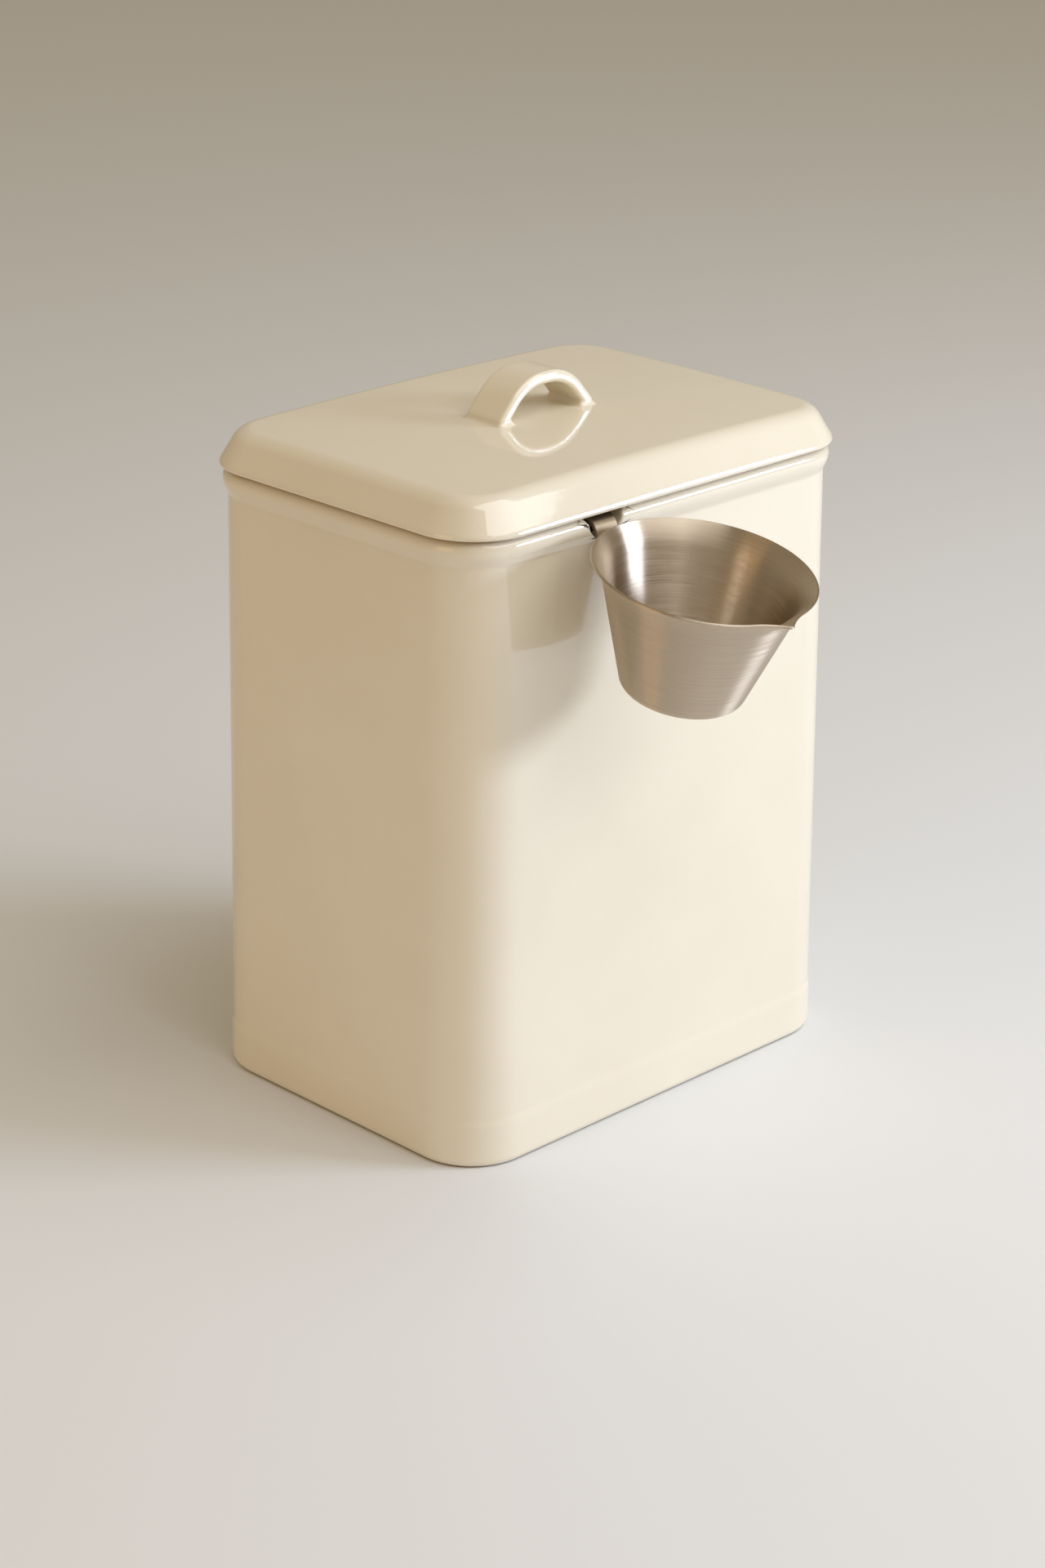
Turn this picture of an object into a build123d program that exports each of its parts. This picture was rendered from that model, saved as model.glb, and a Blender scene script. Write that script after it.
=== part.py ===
from build123d import *
import os
from math import acos, asin, atan2, cos, radians, sin, sqrt, tan

# Glazed ceramic jar for washing powder, with a loose lid and a steel scoop hung on its rim.
# Millimetres, +Z up. The origin is the middle of the foot, on the floor. The front faces -Y.

# Jar body, one casting
base_width = 181.0          # along X, at the foot
base_depth = 132.6          # along Y, at the foot
jar_height = 214.6          # floor to the top of the rim
wall_lean = 2.3             # how far each side leans in from foot to rim
corner_radius = 22.4        # upright corners, at the foot
wall_thickness = 6.0
floor_thickness = 8.0
foot_edge_radius = 3.0
foot_band_height = 14.5     # the foot stands a little proud up to here
foot_band_proud = 0.45
inner_corner_radius = 3.0   # where the walls meet the inside floor

# Rim of the jar
bead_proud = 1.75           # how far the bead stands out from the wall
bead_drop = 3.5             # from the rim's top down to the bead's widest line
bead_radius = 8.0           # lower half of the bead
bead_blend_radius = 3.5     # hollow under the bead
rim_round_share = 0.4       # inner edge of the rim, as a share of the wall

# Half-round notch in the front rim, where the scoop's hook comes out
notch_x = -31.0
notch_room = 3.2            # beside the hook, each side
notch_lip_radius = 3.2      # rounding of the notch's upper corners

# Lid, one casting with its handle
lid_overhang = 1.0          # beyond the bead
lid_lip_radius = 3.2        # rolled lower edge
lid_side_angle = 25.0       # lean of the lid's side, degrees from upright
lid_crown_height = 14.0     # above the rim, at the middle
lid_dome_radius = 3000.0    # the top is only a little crowned
lid_shoulder_radius = 7.0
lid_thickness = 7.0
flange_depth = 7.0          # locating flange, below the rim
flange_thickness = 5.0
flange_edge_share = 0.3     # edge rounding, as a share of the flange's thickness

# Strap handle on the lid
handle_span = 41.0          # between the middles of the feet
handle_top_span = 19.0      # between the corners that the bends round off
handle_rise = 12.7          # lid's top to the middle of the strap
handle_bend_share = 0.85    # bend's tangent length, as a share of half the top span
handle_width = 16.5         # along Y
handle_thickness = 4.2
handle_edge_share = 0.36    # edge rounding, as a share of the strap's thickness
handle_foot_radius = 1.8    # where the strap grows out of the lid

# Scoop cup, pressed from sheet steel
cup_rim_radius = 35.9       # the flared lip
cup_wall_radius = 33.2      # the straight wall, carried on up to the rim
cup_base_radius = 19.3
cup_height = 42.6
cup_wall = 0.9
cup_base_edge_radius = 4.5
cup_lip_depth = 7.0         # the lip starts to flare this far below the rim
cup_tilt = 11.7             # degrees, the outer side hangs lower
cup_gap = 7.0               # from the bead to the near side of the cup's rim
cup_rim_drop = 1.9          # near side of the cup's rim, below the jar's rim

# Spout, drawn out of the lip on the side that faces away from the jar
spout_reach = 4.3           # beyond the rim's circle
spout_tip_radius = 1.5
spout_flank_radius = 25.0   # hollow flanks from the tip to the rim's circle
spout_turn = 4.5            # degrees, away from square to the jar
spout_ridge_share = 0.15    # tip's width where the spout ends below, as a share of the spout's angle
lip_middle_share = 0.6      # height of the lip's middle section, as a share of the lip

# Scoop hook, a bent steel strip
hook_width = 9.5
hook_thickness = 1.3
hook_crest_share = 0.48     # crest radius, as a share of the wall that it bridges
hook_root_radius = 3.0
hook_tab_length = 16.0      # welded to the cup
hook_leg_depth = 36.0       # inside the jar, below the rim
hook_end_share = 0.3        # corner rounding, as a share of the hook's width

# Clearances
hook_seat_clearance = 0.2   # hook above the notch's edge
hook_crest_clearance = 0.9  # hook below the lid
leg_clearance = 0.8         # hook to the jar's inner wall, and to the lid's flange
weld_film = 0.05            # filler between hook and cup
overrun = 2.0               # how far tools pass a surface that they cut or join

UP = Vector(0, 0, 1)
FRONT = Vector(0, -1, 0)


def wall_inset(height):
    """How far the jar's side lies inside the foot outline at this height."""
    return foot_band_proud + wall_lean * height / jar_height


# Faces at the rim, as insets from the foot outline
rim_inset = wall_inset(jar_height)
bead_inset = rim_inset - bead_proud
lid_inset = bead_inset - lid_overhang
bore_inset = rim_inset + wall_thickness
flange_inset = bore_inset + hook_thickness + 2 * leg_clearance
recess_inset = flange_inset + flange_thickness

# The notch is a half round as wide as the hook and its room
notch_radius = hook_width / 2 + notch_room
hook_seat_drop = sqrt(notch_radius ** 2 - (hook_width / 2) ** 2)

# Sheet of the cup's wall: how far it widens for each millimetre of height
cup_slope = (cup_wall_radius - cup_base_radius) / cup_height


def outline(inset, height):
    """The foot's rounded rectangle moved in by an inset, as a level face."""
    width = base_width - 2 * inset
    depth = base_depth - 2 * inset
    return Pos(0, 0, height) * RectangleRounded(width, depth, corner_radius - inset)


def section_point(inset, height):
    """A point of the front wall's section, at an inset from the foot outline."""
    return Vector(0, inset - base_depth / 2, height)


def ring(edges):
    """A closed section of the front wall, carried round the foot outline."""
    return sweep(make_face(edges), path=outline(0, 0).wire())


def wall_ring():
    """Foot, leaning wall, beaded rim and inner face of the jar."""
    inner_inset = foot_band_proud + wall_thickness
    band_z = foot_band_height
    wall_z = foot_band_height + 2 * foot_band_proud
    bead_z = jar_height - bead_drop
    bead_reach = bead_radius + bead_blend_radius
    bead_fall = sqrt(bead_reach ** 2 - (bead_reach - bead_proud) ** 2)
    bead_turn_share = bead_radius / bead_reach
    rim_round = rim_round_share * wall_thickness

    foot_inner = section_point(inner_inset + inner_corner_radius, 0)
    foot_edge = section_point(foot_edge_radius, 0)
    foot_side = section_point(0, foot_edge_radius)
    band_top = section_point(wall_inset(band_z) - foot_band_proud, band_z)
    wall_foot = section_point(wall_inset(wall_z), wall_z)
    wall_top = section_point(wall_inset(bead_z - bead_fall), bead_z - bead_fall)
    bead_turn = section_point(
        bead_inset + bead_turn_share * bead_proud,
        bead_z - bead_turn_share * bead_fall,
    )
    bead_widest = section_point(bead_inset, bead_z)
    rim_outer = section_point(bead_inset + bead_drop, jar_height)
    rim_inner = section_point(bore_inset - rim_round, jar_height)
    bore_top = section_point(bore_inset, jar_height - rim_round)
    bore_foot = section_point(inner_inset, floor_thickness + inner_corner_radius)
    floor_edge = section_point(inner_inset + inner_corner_radius, floor_thickness)
    return ring([
        Line(foot_inner, foot_edge),
        TangentArc(foot_edge, foot_side, tangent=FRONT),
        Line(foot_side, band_top),
        Line(band_top, wall_foot),
        Line(wall_foot, wall_top),
        TangentArc(wall_top, bead_turn, tangent=UP),
        TangentArc(bead_widest, bead_turn, tangent=-UP),
        TangentArc(bead_widest, rim_outer, tangent=UP),
        Line(rim_outer, rim_inner),
        TangentArc(rim_inner, bore_top, tangent=-FRONT),
        Line(bore_top, bore_foot),
        TangentArc(bore_foot, floor_edge, tangent=-UP),
        Line(floor_edge, foot_inner),
    ])


def notch_cutter():
    """Half-round notch with rounded upper corners, through the front wall."""
    lip = notch_lip_radius
    lip_x = sqrt((notch_radius + lip) ** 2 - lip ** 2)
    touch_share = notch_radius / (notch_radius + lip)
    top = jar_height + overrun

    def point(x, z):
        return Vector(notch_x + x, 0, z)

    edges = [Line(point(-lip_x, top), point(lip_x, top))]
    for side in (-1, 1):
        corner = point(side * lip_x, jar_height)
        touch = point(side * lip_x * touch_share, jar_height - lip * touch_share)
        edges.append(Line(point(side * lip_x, top), corner))
        edges.append(TangentArc(corner, touch, tangent=(-side, 0, 0)))
    bottom = point(0, jar_height - notch_radius)
    edges.append(ThreePointArc(edges[2] @ 1, bottom, edges[4] @ 1))
    return extrude(make_face(edges), amount=base_depth, dir=FRONT)


def jar_body():
    """The open jar: walls carried round the outline, a floor and the notch."""
    floor = extrude(outline(foot_band_proud + wall_thickness, 0), amount=floor_thickness)
    return wall_ring() + floor - notch_cutter()


def dome(radius):
    """A large ball whose top gives the lid its crown, turned so that its seam lies below."""
    centre_z = jar_height + lid_crown_height - lid_dome_radius
    return Pos(0, 0, centre_z) * Rot(X=90) * Sphere(radius)


def lid_edge(top):
    """The lid's rolled lip and leaning side, carried round the outline."""
    lean = radians(lid_side_angle)
    side_z = jar_height + lid_lip_radius * (1 + sin(lean))
    side_inset = lid_inset + lid_lip_radius * (1 - cos(lean))
    top_inset = side_inset + (top - side_z) * tan(lean)
    lip_foot = section_point(lid_inset + lid_lip_radius, jar_height)
    side_foot = section_point(side_inset, side_z)
    side_top = section_point(top_inset, top)
    core_top = section_point(bore_inset, top)
    core_foot = section_point(bore_inset, jar_height)
    return ring([
        TangentArc(lip_foot, side_foot, tangent=FRONT),
        Line(side_foot, side_top),
        Line(side_top, core_top),
        Line(core_top, core_foot),
        Line(core_foot, lip_foot),
    ])


def lid_handle():
    """The strap handle, a soft-edged strip bent into an arch, with its feet in the lid."""
    foot_x = handle_span / 2
    top_x = handle_top_span / 2
    base_z = jar_height + lid_crown_height
    sink = lid_thickness / 2
    root_x = foot_x + sink * (foot_x - top_x) / handle_rise
    turn = atan2(handle_rise, foot_x - top_x)
    path = FilletPolyline(
        (-root_x, 0, base_z - sink),
        (-top_x, 0, base_z + handle_rise),
        (top_x, 0, base_z + handle_rise),
        (root_x, 0, base_z - sink),
        radius=handle_bend_share * top_x / tan(turn / 2),
    )
    strip = RectangleRounded(handle_width, handle_thickness, handle_edge_share * handle_thickness)
    start = Plane(origin=path @ 0, x_dir=(0, 1, 0), z_dir=path % 0)
    return sweep(start * strip, path=path)


def lid():
    """The lid: crowned top, hollow underside with a locating flange, and the handle."""
    top = jar_height + lid_crown_height + overrun
    foot = jar_height - flange_depth
    block = lid_edge(top) + extrude(outline(bore_inset, jar_height), amount=top - jar_height)
    crowned = block & dome(lid_dome_radius)
    shoulder = crowned.faces().sort_by(Axis.Z)[-1].outer_wire().edges()
    crowned = fillet(shoulder, lid_shoulder_radius)
    flange = extrude(outline(flange_inset, foot), amount=flange_depth + overrun)
    recess = extrude(outline(recess_inset, foot), amount=top - foot)
    shell = crowned + flange - (recess & dome(lid_dome_radius - lid_thickness))
    flange_foot = shell.faces().sort_by(Axis.Z)[0].edges()
    shell = fillet(flange_foot, flange_edge_share * flange_thickness)
    handle = lid_handle()
    whole = shell + handle
    return fillet(new_edges(shell, handle, combined=whole), handle_foot_radius)


def around(radius, angle, z, centre=Vector(0, 0, 0)):
    """A point at this radius and angle round a centre; angles start at the spout."""
    return centre + Vector(radius * sin(angle), -radius * cos(angle), z)


def lip_radius(share):
    """Radius of the lip at a share of its height; it leaves the wall as a parabola."""
    flare = cup_rim_radius - cup_wall_radius
    return cup_wall_radius - cup_slope * (1 - share) * cup_lip_depth + flare * share ** 2


def spout_angle(share):
    """Half the angle over which the spout's hollow flanks leave the lip's circle."""
    flank_offset = lip_radius(share) + spout_flank_radius
    tip_offset = lip_radius(share) + spout_reach * share ** 2 - spout_tip_radius
    side = spout_tip_radius + spout_flank_radius
    return acos((tip_offset ** 2 + flank_offset ** 2 - side ** 2) / (2 * tip_offset * flank_offset))


def lip_face(share, grow):
    """The lip's outline with the spout, at a share of its height."""
    z = (share - 1) * cup_lip_depth
    radius = lip_radius(share) + grow
    tip_radius = spout_tip_radius + grow
    flank_radius = spout_flank_radius - grow
    turn = spout_angle(share)
    tip = Vector(0, -lip_radius(share) - spout_reach * share ** 2 + spout_tip_radius, z)
    flanks = []
    for side in (1, -1):
        centre = around(radius + flank_radius, side * turn, z)
        start = around(radius, side * turn, z)
        end = tip + (centre - tip).normalized() * tip_radius
        middle = centre + ((start - centre) + (end - centre)).normalized() * flank_radius
        flanks.append((start, middle, end))
    right, left = flanks
    return make_face([
        ThreePointArc(*right),
        ThreePointArc(right[2], around(tip_radius, 0, 0, tip), left[2]),
        ThreePointArc(*left[::-1]),
        ThreePointArc(left[0], around(-radius, 0, z), right[0]),
    ])


def neck_face(grow):
    """The round neck where the lip starts, parted at the spout's angles."""
    radius = lip_radius(0) + grow
    turn = spout_angle(lip_middle_share)
    ridge = spout_ridge_share * turn
    edges = []
    for first, last in ((turn, ridge), (ridge, -ridge), (-ridge, -turn)):
        angles = (first, (first + last) / 2, last)
        edges.append(ThreePointArc(*[around(radius, angle, -cup_lip_depth) for angle in angles]))
    edges.append(ThreePointArc(edges[2] @ 1, around(-radius, 0, -cup_lip_depth), edges[0] @ 0))
    return make_face(edges)


def cup_form(grow, floor):
    """The cup's outer form grown outwards, or shrunk by a negative amount, from its floor up.

    Local frame: the rim's circle is round the origin and the spout points to -Y.
    """
    lip = loft([neck_face(grow), lip_face(lip_middle_share, grow), lip_face(1, grow)], ruled=True)
    seam = spout_angle(lip_middle_share)
    floor_z = floor - cup_height
    half = make_face(Polyline(
        (0, 0, floor_z),
        around(cup_base_radius + grow + cup_slope * floor, seam, floor_z),
        around(lip_radius(0) + grow, seam, -cup_lip_depth),
        (0, 0, -cup_lip_depth),
        close=True,
    ))
    corner = half.vertices().sort_by(Axis.Z)[:2].sort_by(Axis.X)[-1]
    half = fillet(corner, cup_base_edge_radius + grow)
    return lip + revolve(half, axis=Axis.Z)


# The cup hangs tilted in front of the notch, its near rim a little below the jar's rim
cup_near_y = bead_inset - base_depth / 2 - cup_gap
cup_near_z = jar_height - cup_rim_drop
cup_y = cup_near_y - cup_rim_radius * cos(radians(cup_tilt))
cup_z = cup_near_z - cup_rim_radius * sin(radians(cup_tilt))
cup_place = Pos(notch_x, cup_y, cup_z) * Rot(X=cup_tilt) * Rot(Z=-spout_turn)


def scoop_cup():
    """The thin conical cup with its flared lip and spout, open at the rim."""
    return cup_place * (cup_form(0, 0) - cup_form(-cup_wall, cup_wall))


def scoop_hook():
    """The bent strip: welded tab, rise through the notch, crest under the lid and inner leg."""
    seat_y = bead_inset - base_depth / 2
    seat_z = jar_height - hook_seat_drop + hook_seat_clearance + hook_thickness / 2
    leg_y = bore_inset - base_depth / 2 + leg_clearance + hook_thickness / 2
    crest_radius = hook_crest_share * (leg_y - seat_y)
    crest_y = leg_y - crest_radius
    crest_z = jar_height - hook_crest_clearance - hook_thickness / 2 - crest_radius
    reach = sqrt((crest_y - seat_y) ** 2 + (crest_z - seat_z) ** 2)
    rise = atan2(crest_z - seat_z, crest_y - seat_y) + asin(crest_radius / reach)
    knee_z = seat_z + (leg_y - seat_y) * tan(rise)

    # The tab lies along the near side of the cup's wall, half its thickness off it
    tilt = radians(cup_tilt)
    wall_angle = tilt - atan2(cup_slope, 1)
    offset = hook_thickness / 2 + weld_film
    tab_y = cup_y + cup_wall_radius * cos(tilt) + offset * cos(wall_angle)
    tab_z = cup_z + cup_wall_radius * sin(tilt) + offset * sin(wall_angle)
    above_strap = tab_z - seat_z - (tab_y - seat_y) * tan(rise)
    drop = above_strap / (cos(wall_angle) + sin(wall_angle) * tan(rise))
    root = Vector(notch_x, tab_y + drop * sin(wall_angle), tab_z - drop * cos(wall_angle))
    down_wall = Vector(0, sin(wall_angle), -cos(wall_angle))
    path = FilletPolyline(
        root + down_wall * hook_tab_length,
        root,
        (notch_x, leg_y, knee_z),
        (notch_x, leg_y, jar_height - hook_leg_depth),
        radius=[hook_root_radius, crest_radius],
    )
    start = Plane(origin=path @ 0, x_dir=(1, 0, 0), z_dir=path % 0)
    strip = sweep(start * Rectangle(hook_width, hook_thickness), path=path)
    ends = strip.edges().filter_by(lambda edge: abs(edge.length - hook_thickness) < weld_film)
    strip = fillet(ends, hook_end_share * hook_width)
    return strip - cup_place * cup_form(weld_film, 0)


NODES = {
    "jar_body": jar_body,
    "lid": lid,
    "scoop_cup": scoop_cup,
    "scoop_hook": scoop_hook,
}

if __name__ == "__main__":
    os.makedirs("parts", exist_ok=True)
    for name, make in NODES.items():
        part = make()
        export_step(part, f"parts/{name}.step")
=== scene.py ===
import bmesh
import bpy
from math import acos, atan2, cos, degrees, pi, radians, sin, sqrt, tan
from mathutils import Matrix, Vector


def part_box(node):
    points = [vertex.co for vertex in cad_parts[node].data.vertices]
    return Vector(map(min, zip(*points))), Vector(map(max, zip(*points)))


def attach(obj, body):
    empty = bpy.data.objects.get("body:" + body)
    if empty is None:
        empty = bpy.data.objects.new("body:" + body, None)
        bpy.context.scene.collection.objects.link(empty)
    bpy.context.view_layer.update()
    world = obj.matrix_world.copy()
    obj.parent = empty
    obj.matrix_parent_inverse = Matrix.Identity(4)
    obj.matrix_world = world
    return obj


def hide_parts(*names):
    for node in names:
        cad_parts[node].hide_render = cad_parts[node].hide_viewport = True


# A cream-glazed ceramic jar for washing powder, with its lid on and a steel scoop hung in a notch
# of its rim. Metres, +Z up, the front faces -Y. Sizes are written in millimetres times MM.

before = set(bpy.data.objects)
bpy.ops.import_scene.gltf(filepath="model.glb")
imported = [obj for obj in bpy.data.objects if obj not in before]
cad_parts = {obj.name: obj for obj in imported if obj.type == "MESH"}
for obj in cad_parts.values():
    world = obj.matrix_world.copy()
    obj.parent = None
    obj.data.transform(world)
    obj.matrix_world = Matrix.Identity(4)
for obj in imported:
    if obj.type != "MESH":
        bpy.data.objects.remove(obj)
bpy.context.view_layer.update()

MM = 0.001
jar_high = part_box("jar_body")[1]

# Modelling: how near counts as the same place, how near doubles merge, and which edges stay sharp
TOUCH = 0.01 * MM
MERGE = 0.005 * MM
SMOOTH_ANGLE = radians(40)

# Jar outline: a rounded rectangle at the foot, from which every section is an inset
HALF_WIDTH = jar_high[0]
HALF_DEPTH = jar_high[1]
RIM_Z = jar_high[2]
CORNER_RADIUS = 22.4 * MM
CORNER = Vector((HALF_WIDTH - CORNER_RADIUS, CORNER_RADIUS - HALF_DEPTH, 0))
CORNER_STEPS = 20
FRONT_STEPS = 14
SIDE_STEPS = 9

# Jar wall. The band's steps are shares of how proud it is, inwards, and of its fade, upwards
WALL_LEAN = 2.3 * MM
WALL = 6.0 * MM
FLOOR = 8.0 * MM
FOOT_EDGE = 3.0 * MM
FOOT_BAND = 14.5 * MM
FOOT_BAND_PROUD = 0.45 * MM
FOOT_BAND_FADE = 3.5 * MM
FOOT_BAND_STEPS = ((0, 0), (0.2, 0.3), (0.8, 0.6))
INNER_CORNER = 3.0 * MM
BEAD_PROUD = 1.75 * MM
BEAD_DROP = 3.5 * MM
BEAD_RADIUS = 8.0 * MM
BEAD_BLEND = 3.5 * MM
RIM_ROUND = 2.4 * MM

# Notch
NOTCH_X = -31.0 * MM
NOTCH_RADIUS = 7.95 * MM
NOTCH_LIP = 3.2 * MM
NOTCH_EDGE = 0.9 * MM

# Lid
LID_OVERHANG = 1.0 * MM
LID_SEAT = 5.0 * MM
LID_RELIEF = 0.4 * MM
LID_LIP = 1.0 * MM
LID_LIP_LEAN = radians(17)
LID_BELLY = 8.0 * MM
LID_SIDE_ANGLE = radians(28)
LID_CROWN = 14.0 * MM
LID_SHOULDER = 7.0 * MM
LID_DOME_RADIUS = 3000 * MM
LID_THICKNESS = 7.0 * MM
LID_GRID = 38
FLANGE_DEPTH = 7.0 * MM
FLANGE_WALL = 5.0 * MM
FLANGE_EDGE = 1.5 * MM
FLANGE_GAP = 2.9 * MM

# Handle. Its foot goes down by more than its own height, so that it sinks into the lid
HANDLE_SPAN = 41.0 * MM
HANDLE_TOP_SPAN = 19.0 * MM
HANDLE_RISE = 12.7 * MM
HANDLE_WIDTH = 16.5 * MM
HANDLE_THICKNESS = 4.2 * MM
HANDLE_EDGE = 1.5 * MM
HANDLE_BEND_SHARE = 0.85
HANDLE_FOOT = 2.0 * MM
HANDLE_FOOT_STEPS = 6
HANDLE_FOOT_SINK = 1.1

# Scoop cup. Wall rings are millimetres below the lip, base rings are shares of the flat base
CUP_RIM = 35.9 * MM
CUP_WALL_TOP = 33.2 * MM
CUP_BASE = 19.3 * MM
CUP_HEIGHT = 42.6 * MM
CUP_SHEET = 0.9 * MM
CUP_BASE_EDGE = 4.5 * MM
CUP_EDGE = 0.3 * MM
CUP_EDGE_ANGLE = radians(50)
CUP_LIP = 7.0 * MM
CUP_LIP_STEPS = 8
CUP_WALL_RINGS = (0, 6, 12, 18, 24)
CUP_BASE_RINGS = (0.6, 0.2)
CUP_TILT = radians(11.7)
CUP_GAP = 7.0 * MM
CUP_RIM_DROP = 1.9 * MM
CUP_SLOPE = (CUP_WALL_TOP - CUP_BASE) / CUP_HEIGHT
SPOUT_REACH = 4.3 * MM
SPOUT_TIP = 1.5 * MM
SPOUT_FLANK = 25.0 * MM
SPOUT_TURN = radians(4.5)

# Materials and stage: where nearly all of a noise lies, what counts as facing down at a level, paper size
NOISE_LOW, NOISE_HIGH = 0.3, 0.7
FACING_DOWN = -0.9
BARE_AND_SLIT_SHADE_DEPTH = 1.0 * MM
PAPER_SIZE = 14


def arc(centre, radius, start, end, steps):
    """Points of an arc in a section, as (inset, height), with its two ends."""
    turns = [radians(start + (end - start) * step / steps) for step in range(steps + 1)]
    return [(centre[0] + radius * cos(turn), centre[1] + radius * sin(turn)) for turn in turns]


def in_section(points):
    """Section points set up at the front right corner, facing the front."""
    return [Vector((CORNER.x, inset - HALF_DEPTH, height)) for inset, height in points]


def draw_chain(name, points):
    """A new piece that starts as one vertex, extruded from point to point."""
    bpy.ops.object.select_all(action="DESELECT")
    bpy.ops.mesh.primitive_plane_add(size=MM)
    piece = bpy.context.object
    piece.name = name
    piece.data.name = name
    bpy.ops.object.mode_set(mode="EDIT")
    bpy.ops.mesh.merge(type="CENTER")
    bpy.ops.transform.translate(value=points[0])
    for first, last in zip(points, points[1:]):
        bpy.ops.mesh.extrude_vertices_move(TRANSFORM_OT_translate={"value": last - first})
    return piece


def pick(piece, test):
    """Selects the vertices whose place passes the test, and what lies between them."""
    bpy.ops.mesh.select_all(action="DESELECT")
    mesh = bmesh.from_edit_mesh(piece.data)
    for vert in mesh.verts:
        vert.select_set(test(vert.co))
    mesh.select_flush(True)
    bmesh.update_edit_mesh(piece.data)


def extrude_in_steps(move, steps):
    """Extrudes the selection along a move, in equal steps."""
    for _ in range(steps):
        bpy.ops.mesh.extrude_region_move(TRANSFORM_OT_translate={"value": move / steps})


def apply_modifier(piece, kind, **settings):
    """Adds a modifier, sets it and applies it."""
    bpy.ops.object.modifier_add(type=kind)
    modifier = piece.modifiers[-1]
    for name, value in settings.items():
        setattr(modifier, name, value)
    bpy.ops.object.modifier_apply(modifier=modifier.name)


def make_active(piece):
    """Selects one piece alone."""
    bpy.ops.object.select_all(action="DESELECT")
    piece.select_set(True)
    bpy.context.view_layer.objects.active = piece


def carry_round(piece):
    """Spins a section round its corner, extrudes it to the middle of both sides and mirrors it twice."""
    bpy.ops.mesh.select_all(action="SELECT")
    bpy.ops.mesh.spin(steps=CORNER_STEPS, angle=-pi / 2, center=CORNER, axis=(0, 0, 1))
    extrude_in_steps(Vector((0, -CORNER.y, 0)), SIDE_STEPS)
    pick(piece, lambda place: abs(place.x - CORNER.x) < TOUCH and place.y < CORNER.y)
    extrude_in_steps(Vector((-CORNER.x, 0, 0)), FRONT_STEPS)
    bpy.ops.object.mode_set(mode="OBJECT")
    apply_modifier(piece, "MIRROR", use_axis=(True, True, False), merge_threshold=TOUCH)


def tidy_normals():
    """Merges doubles and turns all faces outwards, in edit mode."""
    bpy.ops.mesh.select_all(action="SELECT")
    bpy.ops.mesh.remove_doubles(threshold=MERGE)
    bpy.ops.mesh.normals_make_consistent(inside=False)


def soften(piece):
    """Shades a finished piece smooth, with its large faces leading."""
    make_active(piece)
    bpy.ops.object.shade_smooth_by_angle(angle=SMOOTH_ANGLE)
    apply_modifier(piece, "WEIGHTED_NORMAL", keep_sharp=True)


def wall_inset(height):
    """How far the jar's side lies inside the foot outline."""
    return FOOT_BAND_PROUD + WALL_LEAN * height / RIM_Z


RIM_INSET = wall_inset(RIM_Z)
BEAD_INSET = RIM_INSET - BEAD_PROUD
BORE_INSET = RIM_INSET + WALL
INNER_INSET = FOOT_BAND_PROUD + WALL


def jar_section():
    """Foot, band, leaning wall, beaded rim, bore and floor, from the underside to the inside."""
    reach = BEAD_RADIUS + BEAD_BLEND
    bead_z = RIM_Z - BEAD_DROP
    turn = degrees(acos((reach - BEAD_PROUD) / reach))
    fall = reach * sin(radians(turn))
    blend_inset = wall_inset(bead_z - fall)
    step_z = FOOT_BAND + FOOT_BAND_FADE
    points = [(INNER_INSET + INNER_CORNER, 0)]
    points += arc((FOOT_EDGE, FOOT_EDGE), FOOT_EDGE, 270, 180, steps=6)
    band_top = wall_inset(FOOT_BAND) - FOOT_BAND_PROUD
    for inward, upward in FOOT_BAND_STEPS:
        points += [(band_top + inward * FOOT_BAND_PROUD, FOOT_BAND + upward * FOOT_BAND_FADE)]
    points += [(wall_inset(step_z), step_z)]
    points += arc((blend_inset - BEAD_BLEND, bead_z - fall), BEAD_BLEND, 0, turn, steps=4)
    points += arc((BEAD_INSET + BEAD_RADIUS, bead_z), BEAD_RADIUS, 180 + turn, 180, steps=6)[1:]
    points += arc((BEAD_INSET + BEAD_DROP, bead_z), BEAD_DROP, 180, 90, steps=7)[1:]
    points += arc((BORE_INSET - RIM_ROUND, RIM_Z - RIM_ROUND), RIM_ROUND, 90, 0, steps=6)
    inner = (INNER_INSET + INNER_CORNER, FLOOR + INNER_CORNER)
    points += arc(inner, INNER_CORNER, 180, 270, steps=6)
    return points


def notch_cutter():
    """A bar with the notch's outline, half round with rounded upper corners.

    It starts a wall's thickness in front of the jar and runs well through its front wall.
    """
    lip_x = sqrt((NOTCH_RADIUS + NOTCH_LIP) ** 2 - NOTCH_LIP ** 2)
    touch = degrees(atan2(NOTCH_LIP, lip_x))
    above = 2 * NOTCH_LIP
    outline = [(-lip_x, above)]
    outline += arc((-lip_x, -NOTCH_LIP), NOTCH_LIP, 90, touch, steps=6)
    outline += arc((0, 0), NOTCH_RADIUS, 180 + touch, 360 - touch, steps=24)[1:]
    outline += arc((lip_x, -NOTCH_LIP), NOTCH_LIP, 180 - touch, 90, steps=6)[1:]
    outline += [(lip_x, above)]
    front = -HALF_DEPTH - WALL
    bar = draw_chain("notch_bar", [Vector((NOTCH_X + x, front, RIM_Z + z)) for x, z in outline])
    bpy.ops.mesh.select_all(action="SELECT")
    bpy.ops.mesh.edge_face_add()
    bpy.ops.mesh.extrude_region_move(TRANSFORM_OT_translate={"value": (0, 4 * WALL, 0)})
    tidy_normals()
    bpy.ops.object.mode_set(mode="OBJECT")
    return bar


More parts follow.
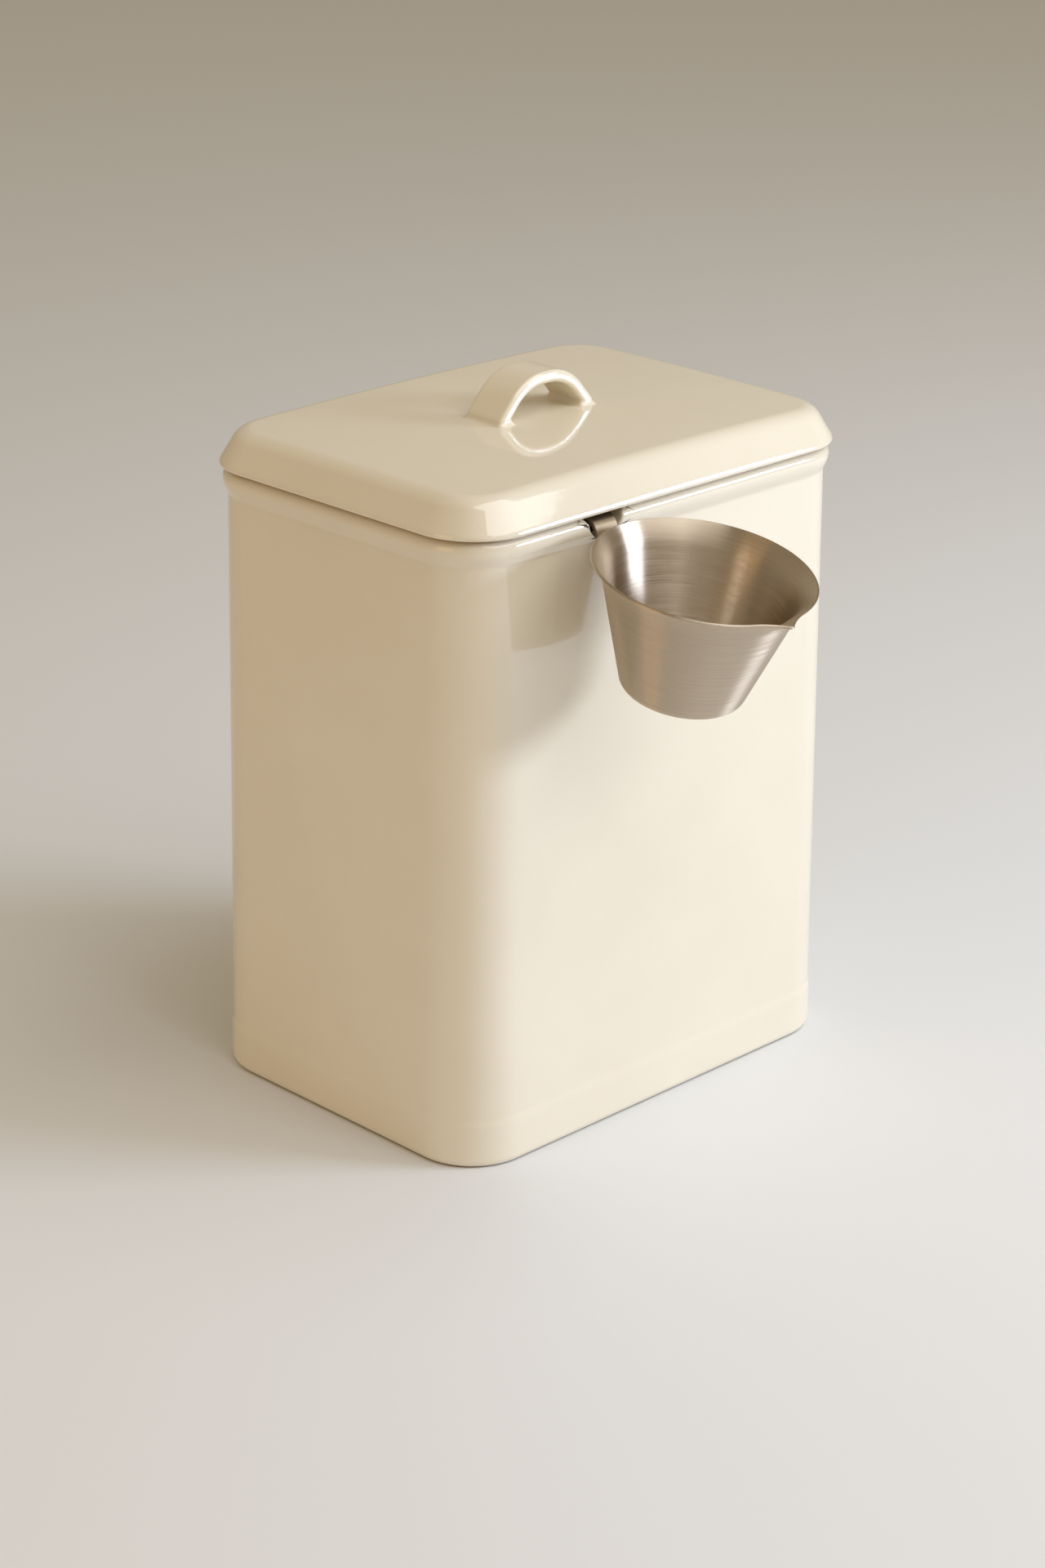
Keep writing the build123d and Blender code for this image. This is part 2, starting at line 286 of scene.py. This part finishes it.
def model_jar(glaze):
    """The jar: its section carried round, closed at floor and foot, notched at the rim."""
    jar = draw_chain("glazed_jar", in_section(jar_section()))
    carry_round(jar)
    bpy.ops.object.mode_set(mode="EDIT")
    bpy.ops.mesh.select_all(action="DESELECT")
    bpy.ops.mesh.select_non_manifold()
    bpy.ops.mesh.edge_face_add()
    tidy_normals()
    bpy.ops.object.mode_set(mode="OBJECT")

    # The cut faces take the bar's own material slot, so that their edges can be found and rounded
    bar = notch_cutter()
    fresh_cut = bpy.data.materials.new("fresh_cut")
    jar.data.materials.append(glaze)
    bar.data.materials.append(fresh_cut)
    make_active(jar)
    apply_modifier(
        jar, "BOOLEAN", operation="DIFFERENCE", object=bar, solver="EXACT", material_mode="TRANSFER",
    )
    bpy.data.objects.remove(bar)
    jar.active_material_index = len(jar.data.materials) - 1
    bpy.ops.object.mode_set(mode="EDIT")
    bpy.ops.mesh.select_all(action="DESELECT")
    bpy.ops.object.material_slot_select()
    bpy.ops.mesh.region_to_loop()
    bpy.ops.mesh.bevel(offset=NOTCH_EDGE, segments=4, profile=0.5, affect="EDGES")
    bpy.ops.object.mode_set(mode="OBJECT")
    bpy.ops.object.material_slot_remove()
    bpy.data.materials.remove(fresh_cut)
    return jar


def lid_section():
    """Recess wall, flange, seat on the rim, lip, swelling side and shoulder, from inside to the top.

    Outside the seat the underside is relieved, so that a dark slit shows under the lip.
    """
    lip_inset = BEAD_INSET - LID_OVERHANG
    flange_inset = BORE_INSET + FLANGE_GAP
    recess_inset = flange_inset + FLANGE_WALL
    flange_z = RIM_Z - FLANGE_DEPTH
    top_z = RIM_Z + LID_CROWN
    lip_lean, side_lean = degrees(LID_LIP_LEAN), degrees(LID_SIDE_ANGLE)
    seat_inset = BEAD_INSET + LID_SEAT
    lip = (lip_inset + LID_LIP, RIM_Z + LID_RELIEF + LID_LIP)
    deeper = LID_BELLY - LID_LIP
    belly = (lip[0] + deeper * cos(LID_LIP_LEAN), lip[1] - deeper * sin(LID_LIP_LEAN))
    side_inset = belly[0] - LID_BELLY * cos(LID_SIDE_ANGLE)
    side_z = belly[1] + LID_BELLY * sin(LID_SIDE_ANGLE)
    corner_inset = side_inset + (top_z - side_z) * tan(LID_SIDE_ANGLE)
    shoulder_inset = corner_inset + LID_SHOULDER * tan((pi / 2 - LID_SIDE_ANGLE) / 2)
    points = [(recess_inset, top_z - LID_THICKNESS)]
    points += arc((recess_inset - FLANGE_EDGE, flange_z + FLANGE_EDGE), FLANGE_EDGE, 0, -90, steps=4)
    points += arc((flange_inset + FLANGE_EDGE, flange_z + FLANGE_EDGE), FLANGE_EDGE, 270, 180, steps=4)
    points += [(flange_inset, RIM_Z), (seat_inset, RIM_Z), (seat_inset - LID_RELIEF, RIM_Z + LID_RELIEF)]
    points += arc(lip, LID_LIP, 270, 180 - lip_lean, steps=9)
    points += arc(belly, LID_BELLY, 180 - lip_lean, 180 - side_lean, steps=5)[1:]
    shoulder = (shoulder_inset, top_z - LID_SHOULDER)
    points += arc(shoulder, LID_SHOULDER, 180 - side_lean, 90, steps=12)
    return points


def crown(place):
    """How far the lid's top falls from its middle to this place."""
    return (place.x ** 2 + place.y ** 2) / (2 * LID_DOME_RADIUS)


def model_lid():
    """The lid: its section carried round, with crowned top and recess filled by a grid."""
    lid = draw_chain("glazed_lid", in_section(lid_section()))
    carry_round(lid)
    top_z = RIM_Z + LID_CROWN
    back_corner = Vector((1, 1, 0)).normalized()
    for level in (top_z, top_z - LID_THICKNESS):
        bpy.ops.object.mode_set(mode="EDIT")
        pick(lid, lambda place: abs(place.z - level) < TOUCH)
        mesh = bmesh.from_edit_mesh(lid.data)
        loop = [vert for vert in mesh.verts if vert.select]
        mesh.select_history.clear()
        mesh.select_history.add(max(loop, key=lambda vert: vert.co.dot(back_corner)))
        bmesh.update_edit_mesh(lid.data)
        bpy.ops.mesh.fill_grid(span=LID_GRID, offset=0)
        bpy.ops.object.mode_set(mode="OBJECT")

    # The crown fades out down the side, so that the seat stays flat
    side_z = RIM_Z + LID_LIP
    for vert in lid.data.vertices:
        share = min(max((vert.co.z - side_z) / (top_z - side_z), 0), 1)
        vert.co.z -= crown(vert.co) * share
    bpy.ops.object.mode_set(mode="EDIT")
    tidy_normals()
    bpy.ops.object.mode_set(mode="OBJECT")
    return lid


def model_handle():
    """One half of the strap, from the middle of its arch down to a flared foot, mirrored."""
    base_z = RIM_Z + LID_CROWN
    top = Vector((0, 0, base_z + HANDLE_RISE))
    half_top = HANDLE_TOP_SPAN / 2
    turn = atan2(HANDLE_RISE, (HANDLE_SPAN - HANDLE_TOP_SPAN) / 2)
    tangent = HANDLE_BEND_SHARE * half_top
    bend_radius = tangent / tan(turn / 2)
    bpy.ops.object.select_all(action="DESELECT")
    bpy.ops.mesh.primitive_plane_add(size=1, location=top, rotation=(0, pi / 2, 0))
    handle = bpy.context.object
    handle.name = "strap_handle"
    handle.scale = (HANDLE_THICKNESS, HANDLE_WIDTH, 1)
    bpy.ops.object.transform_apply(location=True, rotation=True, scale=True)
    bpy.ops.object.mode_set(mode="EDIT")
    bpy.ops.mesh.bevel(offset=HANDLE_EDGE, segments=6, affect="VERTICES")
    bpy.ops.mesh.delete(type="ONLY_FACE")
    bpy.ops.mesh.select_all(action="SELECT")
    extrude_in_steps(Vector((half_top - tangent, 0, 0)), steps=1)
    bend = Vector((half_top - tangent, 0, top.z - bend_radius))
    bpy.ops.mesh.spin(steps=14, angle=-turn, center=bend, axis=(0, 1, 0))
    leg = Vector((cos(turn), 0, -sin(turn)))
    extrude_in_steps(leg * 2 * HANDLE_RISE, steps=4)

    # The leg, drawn too long, is cut level above the lid. Its edge is drawn out into the flared foot
    cut_z = base_z + HANDLE_FOOT
    bpy.ops.mesh.select_all(action="SELECT")
    bpy.ops.mesh.bisect(plane_co=(0, 0, cut_z), plane_no=(0, 0, 1), clear_inner=True)
    half_x = HANDLE_THICKNESS / 2 / sin(turn)
    half_y = HANDLE_WIDTH / 2
    foot_x = HANDLE_SPAN / 2 - HANDLE_FOOT / tan(turn)
    grown = 0
    fallen = 0
    for step in range(1, HANDLE_FOOT_STEPS + 1):
        angle = pi / 2 * step / HANDLE_FOOT_STEPS
        grow = HANDLE_FOOT * (1 - cos(angle))
        fall = HANDLE_FOOT * sin(angle) * HANDLE_FOOT_SINK
        pick(handle, lambda place: abs(place.z - cut_z + fallen) < TOUCH and place.x > half_x)
        bpy.ops.mesh.extrude_region_move(TRANSFORM_OT_translate={"value": (0, 0, fallen - fall)})
        wider = ((half_x + grow) / (half_x + grown), (half_y + grow) / (half_y + grown), 1)
        bpy.ops.transform.resize(value=wider, center_override=(foot_x, 0, cut_z - fall))
        grown = grow
        fallen = fall
    bpy.ops.object.mode_set(mode="OBJECT")
    apply_modifier(handle, "MIRROR", use_axis=(True, False, False), merge_threshold=TOUCH)
    bpy.ops.object.mode_set(mode="EDIT")
    tidy_normals()
    bpy.ops.object.mode_set(mode="OBJECT")
    return handle


def around(radius, angle, centre=Vector((0, 0, 0))):
    """A point at this radius and angle round a centre; angles start at the spout."""
    return centre + Vector((radius * sin(angle), -radius * cos(angle), 0))


def sweep(radius, first, last, steps, centre=Vector((0, 0, 0))):
    """Points along an arc round a centre, without the last one."""
    return [around(radius, first + (last - first) * step / steps, centre) for step in range(steps)]


def lip_radius(share):
    """Radius of the cup's lip at a share of its height; it leaves the straight wall as a parabola."""
    return CUP_WALL_TOP - CUP_SLOPE * (1 - share) * CUP_LIP + (CUP_RIM - CUP_WALL_TOP) * share ** 2


def rim_outline():
    """The rim's circle with the spout drawn out of it: a small round tip between two hollow flanks."""
    tip = Vector((0, SPOUT_TIP - SPOUT_REACH - CUP_RIM, 0))
    flank_offset = CUP_RIM + SPOUT_FLANK
    side = SPOUT_TIP + SPOUT_FLANK
    turn = acos((tip.y ** 2 + flank_offset ** 2 - side ** 2) / (-2 * tip.y * flank_offset))
    flank = around(flank_offset, turn)
    tip_turn = atan2((flank - tip).x, (tip - flank).y)
    other_flank = flank * Vector((-1, 1, 1))
    return (
        sweep(SPOUT_FLANK, turn - pi, tip_turn - pi, steps=12, centre=flank)
        + sweep(SPOUT_TIP, tip_turn, -tip_turn, steps=10, centre=tip)
        + sweep(SPOUT_FLANK, pi - tip_turn, pi - turn, steps=12, centre=other_flank)
        + sweep(CUP_RIM, -turn, turn - 2 * pi, steps=94)
    )


def unroll_round(piece):
    """A UV map with u round the cup's axis and v up it, for the direction of the brushing."""
    layer = piece.data.uv_layers.new(name="round_the_cup")
    for face in piece.data.polygons:
        middle = atan2(face.center.x, -face.center.y)
        for loop in face.loop_indices:
            place = piece.data.vertices[piece.data.loops[loop].vertex_index].co
            turn = atan2(place.x, -place.y) - middle
            turn -= 2 * pi * round(turn / (2 * pi))
            layer.data[loop].uv = ((middle + turn) / (2 * pi) + 0.5, 1 + place.z / CUP_HEIGHT)


CUP_NEAR_Y = BEAD_INSET - HALF_DEPTH - CUP_GAP
CUP_PLACE = Vector((
    NOTCH_X,
    CUP_NEAR_Y - CUP_RIM * cos(CUP_TILT),
    RIM_Z - CUP_RIM_DROP - CUP_RIM * sin(CUP_TILT),
))


def model_cup():
    """The cup: its rim drawn and carried down the flared lip, the wall and the base.

    The sheet is then thickened inwards, its edges are rounded, and it is tilted into place.
    """
    cup = draw_chain("steel_cup", rim_outline())
    bpy.ops.mesh.select_all(action="SELECT")
    bpy.ops.mesh.edge_face_add()
    bpy.ops.mesh.delete(type="ONLY_FACE")
    bpy.ops.mesh.select_all(action="SELECT")
    for step in range(CUP_LIP_STEPS, 0, -1):
        share, lower = step / CUP_LIP_STEPS, (step - 1) / CUP_LIP_STEPS
        bpy.ops.mesh.extrude_region_move(TRANSFORM_OT_translate={"value": (0, 0, -CUP_LIP / CUP_LIP_STEPS)})
        mesh = bmesh.from_edit_mesh(cup.data)
        for vert in mesh.verts:
            if vert.select:
                radius = vert.co.xy.length
                drawn_out = (radius - lip_radius(share)) * (lower / share) ** 2
                vert.co.xy *= (lip_radius(lower) + drawn_out) / radius
        bmesh.update_edit_mesh(cup.data)

    # Below the lip the wall runs on as a cone and turns in to the flat base
    lean = atan2(CUP_SLOPE, 1)
    corner_r = CUP_BASE - CUP_BASE_EDGE * tan((pi / 2 - lean) / 2)
    profile = [(lip_radius(0) - CUP_SLOPE * fall * MM, -CUP_LIP - fall * MM) for fall in CUP_WALL_RINGS]
    profile += arc((corner_r, CUP_BASE_EDGE - CUP_HEIGHT), CUP_BASE_EDGE, -degrees(lean), -90, steps=8)
    profile += [(share * corner_r, -CUP_HEIGHT) for share in CUP_BASE_RINGS]
    for (radius, level), (next_radius, next_level) in zip(profile, profile[1:]):
        bpy.ops.mesh.extrude_region_move(TRANSFORM_OT_translate={"value": (0, 0, next_level - level)})
        narrower = next_radius / radius
        bpy.ops.transform.resize(value=(narrower, narrower, 1), center_override=(0, 0, next_level))
    bpy.ops.mesh.edge_face_add()
    tidy_normals()
    bpy.ops.object.mode_set(mode="OBJECT")
    apply_modifier(cup, "SOLIDIFY", thickness=CUP_SHEET, offset=-1, use_even_offset=True)
    apply_modifier(
        cup, "BEVEL", width=CUP_EDGE, segments=3, limit_method="ANGLE", angle_limit=CUP_EDGE_ANGLE,
    )
    unroll_round(cup)
    cup.rotation_euler.z = -SPOUT_TURN
    bpy.ops.object.transform_apply(location=True, rotation=True, scale=True)
    cup.rotation_euler.x = CUP_TILT
    cup.location = CUP_PLACE
    bpy.ops.object.transform_apply(location=True, rotation=True, scale=True)
    return cup


def linear(code):
    """A colour written as sRGB hex, turned to the linear values that a shader takes."""
    shares = [int(code[i:i + 2], 16) / 255 for i in (1, 3, 5)]
    return tuple(s / 12.92 if s <= 0.04045 else ((s + 0.055) / 1.055) ** 2.4 for s in shares) + (1,)


def add(tree, kind, settings=None, links=None, values=None):
    """Adds a node, sets its settings and its input values, and links outputs into its inputs."""
    node = tree.nodes.new("ShaderNode" + kind)
    for name, value in (settings or {}).items():
        setattr(node, name, value)
    for name, value in (values or {}).items():
        node.inputs[name].default_value = value
    for name, output in (links or {}).items():
        tree.links.new(output, node.inputs[name])
    return node


def new_material(name):
    """An empty node material with its output."""
    material = bpy.data.materials.new(name)
    material.use_nodes = True
    material.node_tree.nodes.clear()
    return material, material.node_tree


def noise(tree, place, size, detail):
    """An even noise whose marks are about this size, in metres."""
    marks = add(tree, "TexNoise", values={"Scale": 1 / size, "Detail": detail}, links={"Vector": place})
    return marks.outputs["Fac"]


def lines(tree, place, size):
    """A noise stretched into lines; size is a mark's length along X, Y and Z, in metres."""
    stretch = tuple(1 / length for length in size)
    drawn = add(tree, "Mapping", values={"Scale": stretch}, links={"Vector": place})
    return noise(tree, drawn.outputs["Vector"], size=1, detail=2)


def two_tone(tree, pattern, dark, light):
    """A colour that follows a pattern from one sRGB hex code to another."""
    ramp = add(tree, "ValToRGB", links={"Fac": pattern})
    low, high = ramp.color_ramp.elements
    low.position, low.color = NOISE_LOW, linear(dark)
    high.position, high.color = NOISE_HIGH, linear(light)
    return ramp.outputs["Color"]


def between(tree, pattern, least, most):
    """A value that follows a pattern between two others."""
    spread = {"From Min": NOISE_LOW, "From Max": NOISE_HIGH, "To Min": least, "To Max": most}
    return add(tree, "MapRange", values=spread, links={"Value": pattern}).outputs["Result"]


def surface(tree, values, links=None):
    """The material's shader, with these values and links, as its output."""
    shader = add(tree, "BsdfPrincipled", values=values, links=links)
    add(tree, "OutputMaterial", links={"Surface": shader.outputs["BSDF"]})


def cream_glaze():
    """Stoneware dipped in a thick cream glaze and fired: a glassy skin that pools and waves a little."""
    material, tree = new_material("cream_glaze")
    place = add(tree, "TexCoord").outputs["Object"]

    # The glaze lies thicker in some places than in others: soft clouds about 35 mm across
    clouds = noise(tree, place, size=35 * MM, detail=3)
    tint = two_tone(tree, clouds, "#EDE4CF", "#F0E7D3")

    # The fired skin waves broadly, and has the fine unevenness of glaze that has run together
    wave = noise(tree, place, size=45 * MM, detail=1)
    peel = noise(tree, place, size=9 * MM, detail=2)
    waved = add(tree, "Bump", values={"Strength": 1, "Distance": 0.25 * MM}, links={"Height": wave})
    skin = add(
        tree, "Bump", values={"Strength": 1, "Distance": 0.04 * MM},
        links={"Height": peel, "Normal": waved.outputs["Normal"]},
    )

    # A glaze has an IOR of about 1.55; this one is higher, so that the cup mirrored on the wall shows
    surface(tree, {"Roughness": 0.05, "IOR": 1.8}, {"Base Color": tint, "Normal": skin.outputs["Normal"]})
    return material


def bare_clay_and_slit_shade():
    """Fired stoneware without glaze, where a piece stood in the kiln: dry and matt. Its buff is darkened as
    painted shade, so that the slit under the lid's lip reads dark.
    """
    material, tree = new_material("bare_clay_painted_slit_shade")
    place = add(tree, "TexCoord").outputs["Object"]
    grain = noise(tree, place, size=1.5 * MM, detail=3)
    # The buff is darkened beyond the fired body's own tone, as painted shade for the slit; the grain is its
    # own
    tint = two_tone(tree, grain, "#9A8264", "#AB9475")
    surface(tree, {"Roughness": 0.9, "IOR": 1.5}, {"Base Color": tint})
    return material


def set_bare_and_slit_shade(piece, clay_and_slit_shade, level):
    """Unglazed, darkened faces facing down at this level: the bare foot, and painted shade in the slit at
    the lid's seat.
    """
    piece.data.materials.append(clay_and_slit_shade)
    for face in piece.data.polygons:
        if face.normal.z < FACING_DOWN and abs(face.center.z - level) < BARE_AND_SLIT_SHADE_DEPTH:
            face.material_index = len(piece.data.materials) - 1


def brushed_steel():
    """Stainless sheet, pressed and then brushed round its axis: highlights draw out along the wall."""
    material, tree = new_material("brushed_stainless_steel")
    place = add(tree, "TexCoord").outputs["Object"]
    settle = Matrix.Translation(CUP_PLACE) @ Matrix.Rotation(CUP_TILT, 4, "X")
    upright = add(
        tree, "Mapping", settings={"vector_type": "TEXTURE"},
        values={"Location": settle.to_translation(), "Rotation": settle.to_euler()},
        links={"Vector": place},
    )

    # Brush lines are about 0.1 mm apart, and are drawn 0.3 mm apart so that they show
    brushing = lines(tree, upright.outputs["Vector"], size=(20 * MM, 20 * MM, 0.3 * MM))
    rough = between(tree, brushing, 0.3, 0.42)
    tint = two_tone(tree, brushing, "#C3B4A1", "#D6C8B5")
    along = add(tree, "Tangent", settings={"direction_type": "UV_MAP", "uv_map": "round_the_cup"})
    surface(
        tree, {"Metallic": 1, "Anisotropic": 1, "Anisotropic Rotation": 0.25},
        {"Base Color": tint, "Roughness": rough, "Tangent": along.outputs["Tangent"]},
    )
    return material


def strip_steel_painted_shade():
    """Stainless strip, as rolled and bent, with faint lines along the strip. It is darker and warmer than
    the cup as painted shade and a painted reflection of the cream jar under the lid.
    """
    material, tree = new_material("rolled_steel_painted_shade_and_reflection")
    place = add(tree, "TexCoord").outputs["Object"]

    # Rolling lines are finer than a pixel, and are drawn 0.5 mm apart so that they show
    rolling = lines(tree, place, size=(0.5 * MM, 20 * MM, 20 * MM))
    rough = between(tree, rolling, 0.36, 0.46)
    # The dark golden base colour is painted shade and a painted reflection of the cream jar; the steel is
    # the cup's
    surface(tree, {"Base Color": linear("#8E7E66"), "Metallic": 1}, {"Roughness": rough})
    return material


def studio_floor():
    """Pale paper under the object."""
    material, tree = new_material("pale_paper")
    surface(tree, {"Base Color": linear("#ECEEF0"), "Roughness": 0.8})
    bpy.ops.object.select_all(action="DESELECT")
    bpy.ops.mesh.primitive_plane_add(size=PAPER_SIZE)
    paper = bpy.context.object
    paper.name = "studio_floor"
    paper.data.materials.append(material)


def softbox(name, heading, height, distance, size, power, colour):
    """A lamp that faces the middle of the rim.

    Heading and height are degrees from the front, to the right and up; size is width and height.
    """
    turn, rise = radians(heading), radians(height)
    towards = Vector((sin(turn) * cos(rise), -cos(turn) * cos(rise), sin(rise)))
    lamp = bpy.data.lights.new(name, "AREA")
    lamp.shape = "RECTANGLE"
    lamp.size, lamp.size_y = size
    lamp.energy = power
    lamp.color = linear(colour)[:3]
    holder = bpy.data.objects.new(name, lamp)
    holder.location = Vector((0, 0, RIM_Z)) + distance * towards
    holder.rotation_euler = towards.to_track_quat("Z", "Y").to_euler()
    bpy.context.scene.collection.objects.link(holder)


def room_light(colour, strength):
    """Even warm light from all round."""
    world = bpy.data.worlds.new("studio")
    world.use_nodes = True
    tree = world.node_tree
    tree.nodes.clear()
    glow = add(tree, "Background", values={"Color": linear(colour), "Strength": strength})
    add(tree, "OutputWorld", links={"Surface": glow.outputs["Background"]})
    bpy.context.scene.world = world


def photo_camera():
    """A long lens, from the left front and a little above."""
    eye = Vector((-805.12, -804.47, 546.96)) * MM
    azimuth, elevation, roll = radians(-44.954), radians(21.623), radians(0.554)
    back = Vector((sin(azimuth) * cos(elevation), -cos(azimuth) * cos(elevation), sin(elevation)))
    level = Vector((cos(azimuth), sin(azimuth), 0))
    upright = back.cross(level)
    right = cos(roll) * level + sin(roll) * upright
    up = cos(roll) * upright - sin(roll) * level
    data = bpy.data.cameras.new("camera")
    data.sensor_fit = "VERTICAL"
    data.sensor_height = 36
    data.lens = 81.69
    camera = bpy.data.objects.new("camera", data)
    camera.matrix_world = Matrix.Translation(eye) @ Matrix((right, up, back)).transposed().to_4x4()
    bpy.context.scene.collection.objects.link(camera)
    bpy.context.scene.camera = camera


glaze = cream_glaze()
jar = model_jar(glaze)
lid = model_lid()
handle = model_handle()
make_active(lid)
handle.select_set(True)
bpy.ops.object.join()
lid.data.materials.append(glaze)
clay_and_slit_shade = bare_clay_and_slit_shade()
set_bare_and_slit_shade(jar, clay_and_slit_shade, 0)
# On the lid, the dark unglazed seat is painted shade in the slit under its lip
set_bare_and_slit_shade(lid, clay_and_slit_shade, RIM_Z)
cup = model_cup()
cup.data.materials.append(brushed_steel())
for piece in (jar, lid, cup):
    soften(piece)
for piece, node in ((jar, "jar_body"), (lid, "lid"), (cup, "scoop_cup")):
    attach(piece, "root")
    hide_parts(node)
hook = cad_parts["scoop_hook"]
# The hook's strip gets steel darkened as painted shade under the lid
hook.material_slots[0].material = strip_steel_painted_shade()

studio_floor()
softbox("key_softbox", heading=39, height=13, distance=1.6, size=(0.56, 0.28), power=14.6, colour="#DCE9FF")
softbox("front_fill", heading=16, height=54, distance=1.2, size=(1.3, 1.1), power=8.4, colour="#FBFCFF")
softbox("left_panel", heading=-92, height=6, distance=1.4, size=(0.7, 0.9), power=2.2, colour="#FFC680")
room_light(colour="#FFECCB", strength=0.37)
photo_camera()
bpy.context.scene.view_settings.view_transform = "Standard"
